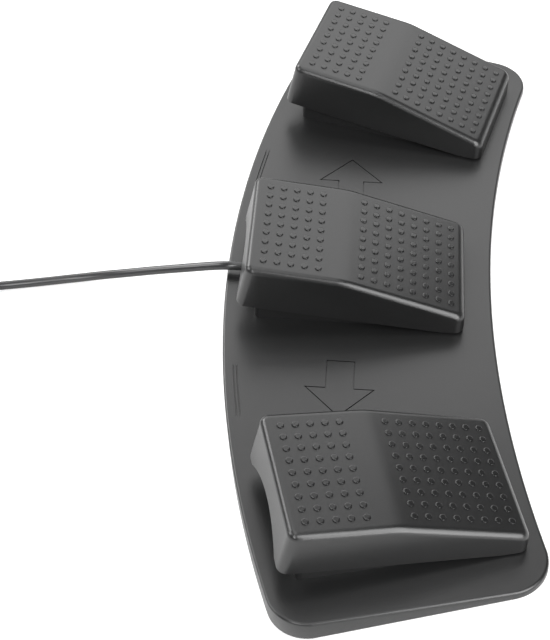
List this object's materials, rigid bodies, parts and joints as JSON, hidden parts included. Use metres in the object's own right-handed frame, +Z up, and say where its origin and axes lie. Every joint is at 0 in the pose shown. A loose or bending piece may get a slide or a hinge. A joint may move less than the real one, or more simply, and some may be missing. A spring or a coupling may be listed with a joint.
{
  "type": "usb foot pedal switch",
  "caption": "Foot switch: sprung rocker pedals with grip dots on a curved wedge-shaped tray, each pressing an enclosed snap switch, with a USB cable.",
  "frame": {"origin": "on the floor under the middle of the tray's outline, at the bottom of the rubber feet", "axes": "+X to the user's right along the row of pedals, +Y from the heel side to the toe side where the cable leaves, +Z up"},
  "size_m": [0.4062, 0.3344, 0.0491],
  "materials": {
    "moulding": "fine-grained dark grey moulding",
    "bottom_sheet": "matt",
    "steel": "zinc plated",
    "rubber": "matt",
    "switch_case": "matt",
    "plunger": "smooth",
    "cable_jacket": "satin",
    "board": "solder mask",
    "chip": "matt",
    "socket": "matt",
    "plug_metal": "plated sheet"
  },
  "bodies": {
    "base": {"base_tray": "moulding", "bottom_plate": "bottom_sheet", "bottom_screws": "steel", "rubber_feet": "rubber", "housing_screws": "steel", "housing_left": "moulding", "housing_middle": "moulding", "housing_right": "moulding", "hinge_pin_left": "steel", "hinge_pin_middle": "steel", "hinge_pin_right": "steel", "return_spring_left": "steel", "return_spring_middle": "steel", "return_spring_right": "steel", "switch_body_left": "switch_case", "switch_body_middle": "switch_case", "switch_body_right": "switch_case", "switch_wire_left": "cable_jacket", "switch_wire_middle": "cable_jacket", "switch_wire_right": "cable_jacket", "switch_screws": "steel", "controller_board": "board", "controller_chip": "chip", "wire_sockets": "socket", "board_screws": "steel", "strain_relief": "cable_jacket", "cable_lead": "cable_jacket", "cable_coil": "cable_jacket", "cable_tail": "cable_jacket", "cable_tie": "rubber", "plug_grip": "cable_jacket", "plug_shell": "plug_metal", "plug_tongue": "socket"},
    "pedal_left": {"cover_left": "moulding"},
    "plunger_left": {"switch_plunger_left": "plunger"},
    "pedal_middle": {"cover_middle": "moulding"},
    "plunger_middle": {"switch_plunger_middle": "plunger"},
    "pedal_right": {"cover_right": "moulding"},
    "plunger_right": {"switch_plunger_right": "plunger"}
  },
  "joints": [
    {"name": "press_left", "type": "hinge", "parent": "base", "child": "pedal_left", "pos_m": [-0.12947, -0.04761, 0.01135], "axis": [-0.9664, -0.2566, -0.017], "range_deg": [0, 5], "stiffness_Nm_per_rad": 5, "springref_deg": -4.58, "deforming": ["return_spring_left"]},
    {"name": "plunger_slide_left", "type": "slide", "parent": "base", "child": "plunger_left", "axis": [0, 0.0663, -0.9978], "range_m": [0, 0.00175]},
    {"name": "press_middle", "type": "hinge", "parent": "base", "child": "pedal_middle", "pos_m": [0, -0.02893, 0.01259], "axis": [-1, 0, 0], "range_deg": [0, 5], "stiffness_Nm_per_rad": 5, "springref_deg": -4.58, "deforming": ["return_spring_middle"]},
    {"name": "plunger_slide_middle", "type": "slide", "parent": "base", "child": "plunger_middle", "axis": [0, 0.0663, -0.9978], "range_m": [0, 0.00175]},
    {"name": "press_right", "type": "hinge", "parent": "base", "child": "pedal_right", "pos_m": [0.12947, -0.04761, 0.01135], "axis": [-0.9664, 0.2566, 0.017], "range_deg": [0, 5], "stiffness_Nm_per_rad": 5, "springref_deg": -4.58, "deforming": ["return_spring_right"]},
    {"name": "plunger_slide_right", "type": "slide", "parent": "base", "child": "plunger_right", "axis": [0, 0.0663, -0.9978], "range_m": [0, 0.00175]}
  ],
  "couplings": [
    {"joint": "plunger_slide_left", "follows": "press_left", "m_per_rad": 0.0198},
    {"joint": "plunger_slide_middle", "follows": "press_middle", "m_per_rad": 0.0198},
    {"joint": "plunger_slide_right", "follows": "press_right", "m_per_rad": 0.0198}
  ]
}
